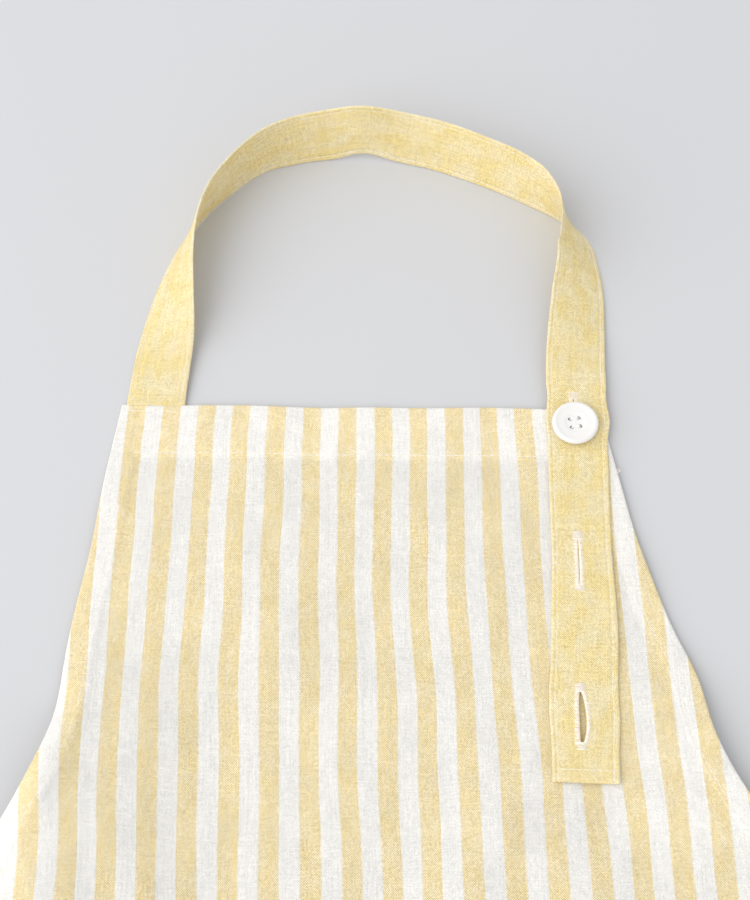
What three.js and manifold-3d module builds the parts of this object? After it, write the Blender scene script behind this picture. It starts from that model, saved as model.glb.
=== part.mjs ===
// Bib apron with a buttoned neck strap, laid out flat, front side up.
// Millimetres. +Z is up, +Y runs from the hem towards the neck, and the back of the cloth rests on z = 0.
// The apron is drawn with y = 0 on the bib's top edge, and moved at the end so that the origin is the
// middle of its footprint.
import * as THREE from 'three';
import { mergeVertices } from 'three/addons/utils/BufferGeometryUtils.js';
import Module from 'manifold-3d';

// Cloth layers. Each ply is drawn thicker than woven cotton is, and keeps a gap to the ply below it.
const PLY = 0.8;
const GAP = 0.3;
const UNDER_Z = 0;
const PANEL_Z = UNDER_Z + PLY + GAP;
const STRAP_Z = PANEL_Z + PLY + GAP;
const STITCH = 0.3;
const STITCH_WIDTH = 0.7;
const STITCH_Z = PANEL_Z + PLY + GAP;

// Bib and skirt.
const BIB_TOP_WIDTH = 220;
const WAIST_WIDTH = 700;
const BIB_HEIGHT = 290;
const APRON_LENGTH = 860;
const HEM_WIDTH = 716;
const FOLD_Y = -262;
const FOLD_GAP = 1.2;
const ARMHOLE_SLOPE = 0.18;
const ARMHOLE_POWER = 5.6;
const ARMHOLE_STEPS = 14;

// Hems.
const TOP_HEM = 24;
const EDGE_HEM = 10;
const BOTTOM_HEM = 30;
const SEAM_INSET = 1.2;
const SIDE_SEAM_TOP = -50;

// Neck strap.
const STRAP_WIDTH = 27;
const STRAP_SLANT = 3.7;
const STRAP_TOP_X = 96.2;
const ANCHOR_X = -95.6;
const ANCHOR_DEPTH = 24.4;
const ANCHOR_SEAM_Y = -3;
const LOOP_START_Y = 5;
const LOOP_HINGE_Y = 3;
const LOOP_STEPS = 72;
const TAB_LENGTH = 34;
const TAIL_GAP = 1.4;
const STRAP_END = 171;

// Buttonholes: distances run down the strap from the bib's top edge.
const HOLE_OFFSET = -1.6;
const HOLE_FIRST = 12.6;
const HOLE_PITCH = 66.5;
const HOLE_LENGTH = 20.5;
const HOLE_RIM = 2.4;
const HOLE_WIDTHS = [3.6, 1, 3.4];

// Button.
const BUTTON_X = 93.9;
const BUTTON_Y = -15.4;
const BUTTON_Z = 4.7;
const BUTTON_RADIUS = 10.5;
const BUTTON_THICKNESS = 2.6;
const BUTTON_DISH = 0.5;
const BUTTON_RECESS = 0.9;
const BUTTON_RECESS_RADIUS = 4.6;
const THREAD_HOLE_RADIUS = 0.8;
const THREAD_HOLE_SPACING = 4;
const THREAD_RADIUS = 0.45;
const THREAD_PAD_RADIUS = 3.5;
const SHANK_RADIUS = 1.3;

// Waist ties. Each runs outward from its seam, then folds flat on the diagonal and runs down beside the skirt.
const TIE_WIDTH = 30;
const TIE_LENGTH = 600;
const TIE_SEAM = 20;
const TIE_FOLD_X = 382;
const BOX_STITCH = 14;

// The loop's lower edge, from the bib's left corner over to its right corner: x, y, height, and how far
// the strap is tipped up from lying flat, in degrees. Past 90 it leans out from the loop.
const LOOP_STATIONS = [
  [-109.2, LOOP_START_Y, 0.5, 1],
  [-108.6, 14, 0.6, 3],
  [-104.8, 36, 0.8, 8],
  [-98.5, 60, 1, 33],
  [-92, 79, 1, 52],
  [-83.5, 95, 1, 68],
  [-72, 110.5, 1, 82],
  [-47, 131.5, 1, 96],
  [-29, 137, 1, 106],
  [-12, 138.5, 2, 110],
  [3, 137.5, 4, 108],
  [20, 134.5, 2, 112],
  [40, 128, 1, 112],
  [70, 113, 1, 108],
  [84, 104.3, 1, 102],
  [96.5, 95.5, 1, 82],
  [105.5, 87.5, 1, 56],
  [110.5, 79, 1, 46],
  [112.5, 67, 1, 39],
  [113.2, 50, 1, 24],
  [111.8, 30, 1.5, 13],
  [110.3, 14, 2.2, 6],
  [109.7, LOOP_START_Y, 2.6, 1],
];

const wasm = await Module();
wasm.setup();

const apron = new THREE.Group();
const STRIPED = { color: 0xf2e4b8, roughness: 0.95 };
const CHAMBRAY = { color: 0xecd494, roughness: 0.95 };
const THREAD = { color: 0xf6eedd, roughness: 0.8 };
const BUTTON = { color: 0xf7f5ef, roughness: 0.25 };

function addMesh(name, geometry, look, parent = apron) {
  const material = new THREE.MeshStandardMaterial({ metalness: 0, ...look });
  const mesh = new THREE.Mesh(geometry, material);
  mesh.name = name;
  parent.add(mesh);
  return mesh;
}

function plate(points, z, thickness = PLY, holes = []) {
  const shape = new THREE.Shape(points.map(([x, y]) => new THREE.Vector2(x, y)));
  shape.holes = holes;
  const geometry = new THREE.ExtrudeGeometry(shape, { depth: thickness, bevelEnabled: false, curveSegments: 6 });
  geometry.translate(0, 0, z);
  return geometry;
}

function mirrored(points) {
  return points.map(([x, y]) => [-x, y]);
}

function rectangle(x0, y0, x1, y1) {
  return [[x0, y0], [x1, y0], [x1, y1], [x0, y1]];
}

// Adds a left and a right copy of one outline, drawn for the right side.
function addPair(stem, points, z, thickness, look) {
  addMesh(`${stem}_left`, plate(mirrored(points), z, thickness), look);
  addMesh(`${stem}_right`, plate(points, z, thickness), look);
}

// Half the apron's width at height y: a nearly straight side that sweeps out to the waist corner,
// then the slightly flared side of the skirt.
function halfWidth(y) {
  if (y < -BIB_HEIGHT) {
    const down = (-BIB_HEIGHT - y) / (APRON_LENGTH - BIB_HEIGHT);
    return THREE.MathUtils.lerp(WAIST_WIDTH, HEM_WIDTH, down) / 2;
  }
  const t = Math.max(0, -y / BIB_HEIGHT);
  const sweep = ARMHOLE_SLOPE * t + (1 - ARMHOLE_SLOPE) * t ** ARMHOLE_POWER;
  return THREE.MathUtils.lerp(BIB_TOP_WIDTH, WAIST_WIDTH, sweep) / 2;
}

// A point of the right edge at height y, moved inward, square to the edge.
function edgePoint(y, inset) {
  const step = 0.5;
  const slope = (halfWidth(y - step) - halfWidth(y + step)) / (2 * step);
  const length = Math.hypot(1, slope);
  return [halfWidth(y) - inset / length, y - (inset * slope) / length];
}

// The same inset line, read at height y: the foot on the edge is moved until its inset point lies there.
function insetPoint(y, inset) {
  let foot = y;
  for (let i = 0; i < 20; i += 1) foot += y - edgePoint(foot, inset)[1];
  return [edgePoint(foot, inset)[0], y];
}

function edgeCurve(from, to, inset, steps = ARMHOLE_STEPS) {
  const points = [];
  for (let i = 0; i <= steps; i += 1) {
    points.push(insetPoint(THREE.MathUtils.lerp(from, to, i / steps), inset));
  }
  return points;
}

// A band that follows the right edge between two insets.
function edgeBand(from, to, outer, inner, steps = ARMHOLE_STEPS) {
  return [...edgeCurve(from, to, outer, steps), ...edgeCurve(to, from, inner, steps)];
}

function bib() {
  const right = edgeCurve(0, FOLD_Y, 0);
  const outline = [...right, ...mirrored(right).reverse()];
  addMesh('bib_panel', plate(outline, PANEL_Z), STRIPED);

  const anchorEdge = ANCHOR_X + STRAP_WIDTH / 2 + GAP;
  const hem = [[anchorEdge, 0], ...edgeCurve(0, -TOP_HEM, GAP, 2), [anchorEdge, -TOP_HEM]];
  addMesh('bib_top_hem', plate(hem, UNDER_Z), STRIPED);
  addPair('armhole_hem', edgeBand(-TOP_HEM - 1, FOLD_Y, GAP, EDGE_HEM), UNDER_Z, PLY, STRIPED);

  const seamEnd = STRAP_TOP_X - STRAP_WIDTH / 2 - 3;
  const seamY = -TOP_HEM + SEAM_INSET;
  const seam = rectangle(-halfWidth(seamY) + EDGE_HEM, seamY - STITCH_WIDTH, seamEnd, seamY);
  addMesh('top_hem_stitching', plate(seam, STITCH_Z, STITCH), THREAD);
  const inner = EDGE_HEM - SEAM_INSET;
  const side = edgeBand(SIDE_SEAM_TOP, FOLD_Y + 2, inner, inner + STITCH_WIDTH);
  addPair('armhole_stitching', side, STITCH_Z, STITCH, THREAD);
}

function skirt() {
  const right = [...edgeCurve(FOLD_Y - FOLD_GAP, -BIB_HEIGHT, 0, 6), insetPoint(-APRON_LENGTH, 0)];
  addMesh('skirt_panel', plate([...right, ...mirrored(right).reverse()], PANEL_Z), STRIPED);

  const waistHem = edgeBand(FOLD_Y - FOLD_GAP, -BIB_HEIGHT + 7, GAP, EDGE_HEM, 4);
  addPair('waist_hem', waistHem, UNDER_Z, PLY, STRIPED);

  const sideTop = -BIB_HEIGHT - TIE_WIDTH - 2;
  const sideBottom = -APRON_LENGTH + BOTTOM_HEM + 1;
  addPair('side_hem', edgeBand(sideTop, sideBottom, GAP, EDGE_HEM, 1), UNDER_Z, PLY, STRIPED);
  const inner = EDGE_HEM - SEAM_INSET;
  const sideSeam = edgeBand(sideTop, sideBottom, inner, inner + STITCH_WIDTH, 1);
  addPair('side_stitching', sideSeam, STITCH_Z, STITCH, THREAD);

  const hemTop = -APRON_LENGTH + BOTTOM_HEM;
  const half = halfWidth(hemTop) - GAP;
  const hem = rectangle(-half, -APRON_LENGTH, half, hemTop);
  addMesh('bottom_hem', plate(hem, UNDER_Z), STRIPED);
  const seamHalf = half - EDGE_HEM / 2;
  const seamY = hemTop - SEAM_INSET;
  const seam = rectangle(-seamHalf, seamY - STITCH_WIDTH, seamHalf, seamY);
  addMesh('bottom_stitching', plate(seam, STITCH_Z, STITCH), THREAD);
}

// A stitched rectangle with one open corner, drawn as a single line of thread.
function boxStitch(cx, cy, size) {
  const r = size / 2;
  const w = STITCH_WIDTH;
  return [
    [cx - r, cy - r], [cx + r, cy - r], [cx + r, cy + r], [cx - r, cy + r],
    [cx - r, cy - r + 2 * w], [cx - r + w, cy - r + 2 * w], [cx - r + w, cy + r - w],
    [cx + r - w, cy + r - w], [cx + r - w, cy - r + w], [cx - r, cy - r + w],
  ];
}

function ties() {
  const top = -BIB_HEIGHT - 1;
  const bottom = top - TIE_WIDTH;
  const seamX = WAIST_WIDTH / 2;
  const foldEnd = TIE_FOLD_X + TIE_WIDTH;
  const stub = [[seamX - TIE_SEAM, bottom], [foldEnd, bottom], [TIE_FOLD_X, top], [seamX - TIE_SEAM, top]];
  addPair('tie_end', stub, UNDER_Z, PLY, CHAMBRAY);

  const middleX = TIE_FOLD_X + TIE_WIDTH / 2;
  const middleY = (top + bottom) / 2;
  const end = middleY - (TIE_LENGTH - TIE_SEAM - (middleX - seamX));
  const free = [[TIE_FOLD_X, top], [TIE_FOLD_X, end], [foldEnd, end], [foldEnd, bottom]];
  addPair('waist_tie', free, PANEL_Z, PLY, CHAMBRAY);

  const box = boxStitch(seamX - TIE_SEAM / 2, middleY, BOX_STITCH);
  addPair('tie_box_stitch', box, STITCH_Z, STITCH, THREAD);
}

// The loop is a long box bent along its stations. Its width runs from the lower edge to the upper edge.
function loopGeometry() {
  const edge = new THREE.CatmullRomCurve3(LOOP_STATIONS.map(([x, y, z]) => new THREE.Vector3(x, y, z)));
  const tip = new THREE.CatmullRomCurve3(LOOP_STATIONS.map((s, i) => new THREE.Vector3(i, s[3], 0)));
  const up = new THREE.Vector3(0, 0, 1);
  const box = new THREE.BoxGeometry(STRAP_WIDTH, PLY, 1, 1, 1, LOOP_STEPS);
  const place = box.getAttribute('position');
  for (let i = 0; i < place.count; i += 1) {
    const along = 0.5 - place.getZ(i);
    const run = edge.getTangent(along);
    const tilt = THREE.MathUtils.degToRad(tip.getPoint(along).y);
    const inward = new THREE.Vector3(run.y, -run.x, 0).normalize();
    const across = inward.multiplyScalar(Math.cos(tilt)).addScaledVector(up, Math.sin(tilt));
    const face = new THREE.Vector3().crossVectors(across, run).normalize();
    const point = edge.getPoint(along);
    point.addScaledVector(across, place.getX(i) + STRAP_WIDTH / 2);
    point.addScaledVector(face, place.getY(i));
    place.setXYZ(i, point.x, point.y, point.z);
  }
  return box;
}

// A buttonhole's outline: a slot with pointed ends, wider in the middle when it gapes.
function slotPoints(x, y, width, length, steps = 8) {
  const right = [];
  for (let i = 0; i <= steps; i += 1) {
    const t = i / steps;
    const bulge = Math.sin(Math.PI * t) ** 0.5;
    right.push([x + (width / 2) * bulge, y + length * (t - 0.5)]);
  }
  const left = right.slice(1, -1).map(([px, py]) => [2 * x - px, py]).reverse();
  return [...right, ...left];
}

function slotPath(...slot) {
  return new THREE.Path(slotPoints(...slot).map(([x, y]) => new THREE.Vector2(x, y)));
}

// The straight stretch of the strap, drawn straight down from the bib's top edge, then slanted as a whole.
function buttonedStrap() {
  const run = new THREE.Group();
  run.position.set(STRAP_TOP_X, 0, 0);
  run.rotation.z = THREE.MathUtils.degToRad(-STRAP_SLANT);
  apron.add(run);

  const half = STRAP_WIDTH / 2;
  const slots = HOLE_WIDTHS.map((width, i) => [HOLE_OFFSET, -HOLE_FIRST - i * HOLE_PITCH, width, HOLE_LENGTH]);
  const tab = rectangle(-half, -TAB_LENGTH, half, LOOP_HINGE_Y);
  addMesh('strap_tab', plate(tab, STRAP_Z, PLY, [slotPath(...slots[0])]), CHAMBRAY, run);
  const tail = rectangle(-half, -STRAP_END, half, -TAB_LENGTH - TAIL_GAP);
  const tailHoles = [slotPath(...slots[1]), slotPath(...slots[2])];
  addMesh('strap_tail', plate(tail, STRAP_Z, PLY, tailHoles), CHAMBRAY, run);

  slots.forEach(([x, y, width, length], i) => {
    const rim = rectangle(
      x - width / 2 - HOLE_RIM, y - length / 2 - HOLE_RIM, x + width / 2 + HOLE_RIM, y + length / 2 + HOLE_RIM,
    );
    const inner = slotPath(x, y, width + 0.2, length + 0.2);
    const geometry = plate(rim, STRAP_Z + PLY + GAP, STITCH, [inner]);
    addMesh(`buttonhole_stitching_${i + 1}`, geometry, THREAD, run);
  });
}

// The strap's sewn end, caught by a short seam below the bib's top edge and by the top hem's seam.
function strapAnchor() {
  const half = STRAP_WIDTH / 2;
  const anchor = rectangle(ANCHOR_X - half, -ANCHOR_DEPTH, ANCHOR_X + half, LOOP_HINGE_Y);
  addMesh('strap_anchor', plate(anchor, UNDER_Z), CHAMBRAY);
  const seam = rectangle(ANCHOR_X - half + 1, ANCHOR_SEAM_Y - STITCH_WIDTH, ANCHOR_X + half - 1, ANCHOR_SEAM_Y);
  addMesh('anchor_stitching', plate(seam, STITCH_Z, STITCH), THREAD);
}

// manifold-3d wants one closed mesh with its shared corners merged.
function toSolid(geometry) {
  const bare = geometry.clone();
  bare.deleteAttribute('normal');
  bare.deleteAttribute('uv');
  const merged = mergeVertices(bare, 1e-4);
  const vertProperties = Float32Array.from(merged.getAttribute('position').array);
  const triVerts = Uint32Array.from(merged.getIndex().array);
  return new wasm.Manifold(new wasm.Mesh({ numProp: 3, vertProperties, triVerts }));
}

function fromSolid(solid) {
  const mesh = solid.getMesh();
  const geometry = new THREE.BufferGeometry();
  geometry.setAttribute('position', new THREE.BufferAttribute(mesh.vertProperties, 3));
  geometry.setIndex(new THREE.BufferAttribute(mesh.triVerts, 1));
  geometry.computeVertexNormals();
  return geometry;
}

function lathe(profile, segments) {
  const geometry = new THREE.LatheGeometry(profile.map(([r, z]) => new THREE.Vector2(r, z)), segments);
  geometry.rotateX(Math.PI / 2);
  return geometry;
}

function post(radius, low, high, x, y, sides = 10) {
  const geometry = new THREE.CylinderGeometry(radius, radius, high - low, sides);
  geometry.rotateX(Math.PI / 2);
  geometry.translate(x, y, (low + high) / 2);
  return geometry;
}

function holePlaces() {
  const s = THREAD_HOLE_SPACING / 2;
  return [[-s, -s], [s, -s], [s, s], [-s, s]];
}

// The button is turned about its own centre, with its back on z = 0.
function buttonGeometry() {
  const r = BUTTON_RADIUS;
  const t = BUTTON_THICKNESS;
  const profile = [
    [0, BUTTON_RECESS], [BUTTON_RECESS_RADIUS, BUTTON_RECESS], [BUTTON_RECESS_RADIUS + 0.5, 0],
    [r - 2.2, 0], [r - 0.7, 0.45], [r, 1.2], [r - 0.25, t - 0.6], [r - 0.9, t - 0.1], [r - 1.6, t],
    [r - 2.6, t - 0.12], [r - 4, t - BUTTON_DISH + 0.08], [r - 6, t - BUTTON_DISH], [0, t - BUTTON_DISH],
  ];
  let solid = toSolid(lathe(profile, 40));
  holePlaces().forEach(([x, y]) => {
    solid = solid.subtract(toSolid(post(THREAD_HOLE_RADIUS, -1, t + 1, x, y, 12)));
  });
  return fromSolid(solid);
}

// Four thread legs through the holes, two bars across the face, and the knot that lies in the back's recess.
function threadGeometry() {
  const padLow = 0.2;
  const padHigh = 0.6;
  const face = BUTTON_THICKNESS - BUTTON_DISH;
  const barZ = face + GAP + THREAD_RADIUS;
  let solid = toSolid(post(THREAD_PAD_RADIUS, padLow, padHigh, 0, 0, 16));
  holePlaces().forEach(([x, y]) => {
    solid = solid.add(toSolid(post(THREAD_RADIUS, padLow + 0.1, barZ + 0.1, x, y, 8)));
  });
  for (const side of [-1, 1]) {
    const y = (side * THREAD_HOLE_SPACING) / 2;
    const bar = new THREE.BoxGeometry(THREAD_HOLE_SPACING + 2 * THREAD_RADIUS, 2 * THREAD_RADIUS, 2 * THREAD_RADIUS);
    bar.translate(0, y, barZ);
    solid = solid.add(toSolid(bar));
  }
  return fromSolid(solid);
}

function buttonParts() {
  const button = addMesh('button', buttonGeometry(), BUTTON);
  const thread = addMesh('button_thread', threadGeometry(), THREAD);
  for (const mesh of [button, thread]) mesh.position.set(BUTTON_X, BUTTON_Y, BUTTON_Z);
  const shank = post(SHANK_RADIUS, STITCH_Z, BUTTON_Z - 0.1, BUTTON_X, BUTTON_Y, 16);
  addMesh('button_shank', shank, THREAD);
}

bib();
skirt();
strapAnchor();
addMesh('neck_strap_loop', loopGeometry(), CHAMBRAY);
buttonedStrap();
buttonParts();
ties();

// The origin goes to the middle of the footprint.
apron.updateMatrixWorld(true);
const footprint = new THREE.Box3().setFromObject(apron, true);
apron.position.x -= (footprint.min.x + footprint.max.x) / 2;
apron.position.y -= (footprint.min.y + footprint.max.y) / 2;
apron.position.z -= footprint.min.z;
apron.updateMatrixWorld(true);

export default apron;
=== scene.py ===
import math
from functools import partialmethod

import bpy
import numpy as np
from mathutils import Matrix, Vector


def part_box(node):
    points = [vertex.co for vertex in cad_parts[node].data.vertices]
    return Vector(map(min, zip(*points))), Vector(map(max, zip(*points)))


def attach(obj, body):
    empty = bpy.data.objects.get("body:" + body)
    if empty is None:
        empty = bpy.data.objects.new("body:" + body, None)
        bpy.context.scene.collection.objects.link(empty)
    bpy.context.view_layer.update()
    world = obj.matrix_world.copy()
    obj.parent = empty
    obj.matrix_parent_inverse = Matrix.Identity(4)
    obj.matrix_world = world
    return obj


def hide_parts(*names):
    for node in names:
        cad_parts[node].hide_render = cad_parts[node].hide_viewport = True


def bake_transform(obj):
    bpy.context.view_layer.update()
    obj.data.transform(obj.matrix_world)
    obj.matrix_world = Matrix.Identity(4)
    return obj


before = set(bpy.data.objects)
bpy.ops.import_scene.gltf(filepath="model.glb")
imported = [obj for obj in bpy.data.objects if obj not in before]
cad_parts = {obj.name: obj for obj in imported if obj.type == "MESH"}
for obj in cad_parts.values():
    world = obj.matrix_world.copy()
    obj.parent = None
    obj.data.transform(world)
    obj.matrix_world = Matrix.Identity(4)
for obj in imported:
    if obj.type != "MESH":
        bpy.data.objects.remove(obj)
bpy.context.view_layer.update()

MM = 0.001
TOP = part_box("bib_panel")[1].y


def corner(node, which):
    """A CAD node's low (0) or high (1) corner, in this script's millimetres."""
    x, y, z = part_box(node)[which]
    return np.array([x, y - TOP, z]) / MM


def row_point(x, y, z=0.0):
    return (x * MM, TOP + y * MM, z * MM)


# The cut of the apron.
LENGTH = -corner("skirt_panel", 0)[1]
HEM_HALF = corner("skirt_panel", 1)[0]
WAIST_HALF = 350.0
TOP_HALF = 110.0
BIB_HEIGHT = 290.0
ARMHOLE_SLOPE = 0.18
ARMHOLE_POWER = 5.6

# Hems and seams. PLY_GAP is the air under a hem and between its plies, and FAR_IN is any distance
# well away from the side edges.
SIDES = (("left", -1), ("right", 1))
SIDE_TOP_Y = -322.0
TOP_HEM = 24.0
EDGE_HEM = 10.0
BOTTOM_HEM = 30.0
TOP_SEAM = 23.9
EDGE_SEAM = 9.1
BOTTOM_SEAM = 28.9
PLY = 0.5
PLY_GAP = 0.06
HEM_TUCK = 0.7
FAR_IN = 40.0
PLAIN_TOP = 0.75
HEMMED_TOP = 1.75
FOLD_ROUND = 1.1

# Stripes: a yellow one's middle, the repeat, half a yellow one's width, and the pitch of the yarns.
STRIPE_X = -104.85
STRIPE_REPEAT = 16.0
STRIPE_HALF = 4.0
YARN = 0.46

# The strap. Distances along its buttoned stretch are measured up it from the bib's top edge.
STRAP_WIDTH = 27.0
STRAP_THICK = 1.05
STRAP_SEAM = 2.2
SLANT = math.radians(3.7)
STRAP_TOP_X = 96.2
SPLIT_V = -27.5
STRAP_END = 171.0
HOLE_ACROSS = 15.1
HOLE_CENTRES = (-12.85, -79.5, -145.4)
HOLE_HALF = 10.6
HOLE_GAPS = (2.8, 0.16, 2.7)
HOLE_CURVES = (1.6, 0.5, 0.55)
SATIN = 2.4
STRAP_STITCH = (2.3, 0.45)

# The button.
BUTTON_X, BUTTON_Y = 93.9, -15.7
BUTTON_BACK = corner("button", 0)[2]
BUTTON_TURN = math.radians(6)
HOLE_SPREAD = 2.0

# The ties.
TIE_WIDTH = 30.0
TIE_LENGTH = 600.0
TIE_START_X = 330.0
TIE_TOP_Y = -291.0
TIE_FOLD_X = 382.0
TIE_BOX = 7.0

rng = np.random.default_rng(20)


# ---------------- camera, light and floor

def show(name, data):
    """A new object in the scene."""
    made = bpy.data.objects.new(name, data)
    bpy.context.scene.collection.objects.link(made)
    return made


def camera():
    data = bpy.data.cameras.new("camera")
    data.lens = 49.6
    data.sensor_width = 36.0
    data.clip_start = 0.01
    made = show("camera", data)
    made.location = row_point(22.37, -249.65, 504.37)
    made.rotation_euler = (0.422351, 0.043993, -0.020943)
    bpy.context.scene.camera = made


def studio():
    """One wide soft lamp from the upper left, and a pale sky."""
    bib = Vector(row_point(0, -60))
    place = Vector((bib.x - 1.95, bib.y - 0.55, 1.8))
    data = bpy.data.lights.new("key", "AREA")
    data.shape = "DISK"
    data.size = 3.9
    data.energy = 62.0
    data.color = (1.0, 0.985, 0.965)
    key = show("key", data)
    key.location = place
    key.rotation_euler = (bib - place).to_track_quat("-Z", "Y").to_euler()
    world = bpy.data.worlds.new("studio")
    world.use_nodes = True
    background = world.node_tree.nodes["Background"]
    background.inputs["Color"].default_value = (0.955, 0.97, 1.0, 1.0)
    background.inputs["Strength"].default_value = 0.87
    bpy.context.scene.world = world
    bpy.context.scene.view_settings.view_transform = "Standard"


# ---------------- node helpers

class Value:
    """A socket whose value varies over the surface, and which takes plain arithmetic."""

    def __init__(self, tree, socket):
        self.tree, self.socket = tree, socket

    def maths(self, operation, *others):
        return output(self.tree, "Math", dict(enumerate((self, *others))), operation=operation)

    __add__ = partialmethod(maths, "ADD")
    __sub__ = partialmethod(maths, "SUBTRACT")
    __mul__ = partialmethod(maths, "MULTIPLY")
    __truediv__ = partialmethod(maths, "DIVIDE")


def node(tree, kind, inputs=None, **settings):
    """A new node with its settings made, and each input either linked to a Value or set to a constant."""
    made = tree.nodes.new("ShaderNode" + kind)
    for key, value in settings.items():
        setattr(made, key, value)
    for key, value in (inputs or {}).items():
        if isinstance(value, Value):
            tree.links.new(value.socket, made.inputs[key])
        else:
            made.inputs[key].default_value = value
    return made


def output(tree, kind, inputs=None, socket=0, **settings):
    return Value(tree, node(tree, kind, inputs, **settings).outputs[socket])


def remap(value, low, high, to_low=0.0, to_high=1.0, kind="SMOOTHSTEP"):
    inputs = {"Value": value, "From Min": low, "From Max": high, "To Min": to_low, "To Max": to_high}
    return output(value.tree, "MapRange", inputs, interpolation_type=kind)


def linear(value, low, high, to_low, to_high):
    return remap(value, low, high, to_low, to_high, "LINEAR")


def mix(tree, factor, a, b, blend="MIX"):
    inputs = {0: factor, 6: a, 7: b}
    return output(tree, "Mix", inputs, 2, data_type="RGBA", blend_type=blend, clamp_result=False)


def noise(place, scale, detail):
    return output(place.tree, "TexNoise", {"Vector": place, "Scale": scale, "Detail": detail})


def grain(x, y, wide, tall, detail=2.0, seed=0.0):
    """Noise from 0 to 1 with features about wide by tall millimetres."""
    return noise(output(x.tree, "CombineXYZ", {0: x / wide, 1: y / tall, 2: seed}), 1.0, detail)


def tone(colour, amount, warmth=0.0):
    """colour times amount, a number around 1. With warmth, dark is yellower and light is whiter."""
    swing = (amount - 1.0) * warmth
    shade = output(amount.tree, "CombineColor", {0: amount - swing * 0.3, 1: amount, 2: amount + swing})
    return mix(amount.tree, 1.0, colour, shade, "MULTIPLY")


def new_material(name):
    material = bpy.data.materials.new(name)
    material.use_nodes = True
    material.node_tree.nodes.clear()
    return material, material.node_tree


def parts(place):
    return [Value(place.tree, socket) for socket in node(place.tree, "SeparateXYZ", {0: place}).outputs]


def flat_place(tree):
    """Where a point lies on the flat cloth, in millimetres: across, along."""
    return parts(output(tree, "UVMap", uv_map="cut"))[:2]


def stored(tree, name):
    return output(tree, "Attribute", socket="Fac", attribute_name=name, attribute_type="GEOMETRY")


def relief(height, strength, distance):
    return output(height.tree, "Bump", {"Strength": strength, "Distance": distance, "Height": height})


def finish(tree, shader):
    node(tree, "OutputMaterial", {"Surface": shader})


# ---------------- materials

def plain_weave(x, y):
    """(1 where a warp yarn is on top, bump height, warp yarn number, weft yarn number)."""
    across, along = x / YARN, y / YARN
    checks = (across * math.pi).maths("SINE") * (along * math.pi).maths("SINE")
    return remap(checks, -0.25, 0.25), checks.maths("ABSOLUTE"), across.maths("FLOOR"), along.maths("FLOOR")


def yarn_tone(number, along, length, spread, seed):
    """Each yarn has its own tone, which drifts along it."""
    own = output(number.tree, "TexWhiteNoise", {"W": number + seed}, noise_dimensions="1D")
    place = output(number.tree, "CombineXYZ", {0: number, 1: along / length, 2: seed})
    return linear(own * 0.4 + noise(place, 1.0, 2.0), 0.3, 1.1, 1 - spread, 1 + spread)


def yarn_grain(x, y, warp_up, warp_number, weft_number, depth):
    """Tone of each crossing of two yarns, around 1, with slubs along both directions."""
    place = output(x.tree, "CombineXYZ", {0: warp_number, 1: weft_number})
    crossing = output(x.tree, "TexWhiteNoise", {"Vector": place}, noise_dimensions="2D")
    slubs = grain(x, y, 0.5, 7, 1, 31.0) + grain(x, y, 6, 0.5, 1, 37.0) + grain(x, y, 0.7, 0.6, 1, 43.0)
    return (crossing - warp_up) * (depth * 2.0) + linear(slubs, 1.1, 1.9, 0.91, 1.09)


def husks(colour, x, y, rare):
    """Tiny brown specks of husk left in the yarn; the nearer rare is to 1, the fewer."""
    speck = remap(grain(x, y, 0.55, 0.45, 0, 23.0), rare, rare + 0.04)
    return mix(x.tree, speck * 0.7, colour, HUSK)


def finish_cloth(colour, height, x, y, crease, through):
    """Matte cloth with its weave and fine creases in relief, and a little light passing through."""
    height = height + grain(x, y, 9, 14, 3, 4.0) * crease + grain(x, y, 6, 0.7, 1, 8.0) * 0.8
    front = output(x.tree, "BsdfPrincipled", {
        "Base Color": colour, "Roughness": 0.95, "Specular IOR Level": 0.15,
        "Sheen Weight": 0.12, "Sheen Roughness": 0.5, "Normal": relief(height, 0.55, 0.00016),
    })
    back = output(x.tree, "BsdfTranslucent", {"Color": colour})
    finish(x.tree, output(x.tree, "MixShader", {0: through, 1: front, 2: back}))


WHITE_YARN = (0.93, 0.91, 0.865, 1)
WEFT_YARN = (0.94, 0.91, 0.855, 1)
YELLOW_YARN = (0.87, 0.635, 0.11, 1)
STRAP_YARN = (0.90, 0.68, 0.105, 1)
STRAP_WEFT = (0.98, 0.94, 0.83, 1)
STRAP_SLUB = (0.93, 0.87, 0.70, 1)
# The colour of the painted highlight along the strap's and ties' folded edges.
STRAP_FOLD_HIGHLIGHT = (0.96, 0.89, 0.70, 1)
HUSK = (0.50, 0.33, 0.13, 1)
COTTON_THREAD = (0.94, 0.90, 0.81, 1)
BUTTON_THREAD = (0.93, 0.92, 0.90, 1)
STRAP_THREAD = (0.95, 0.88, 0.75, 1)
BUTTONHOLE_THREAD = (0.97, 0.90, 0.79, 1)


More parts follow.
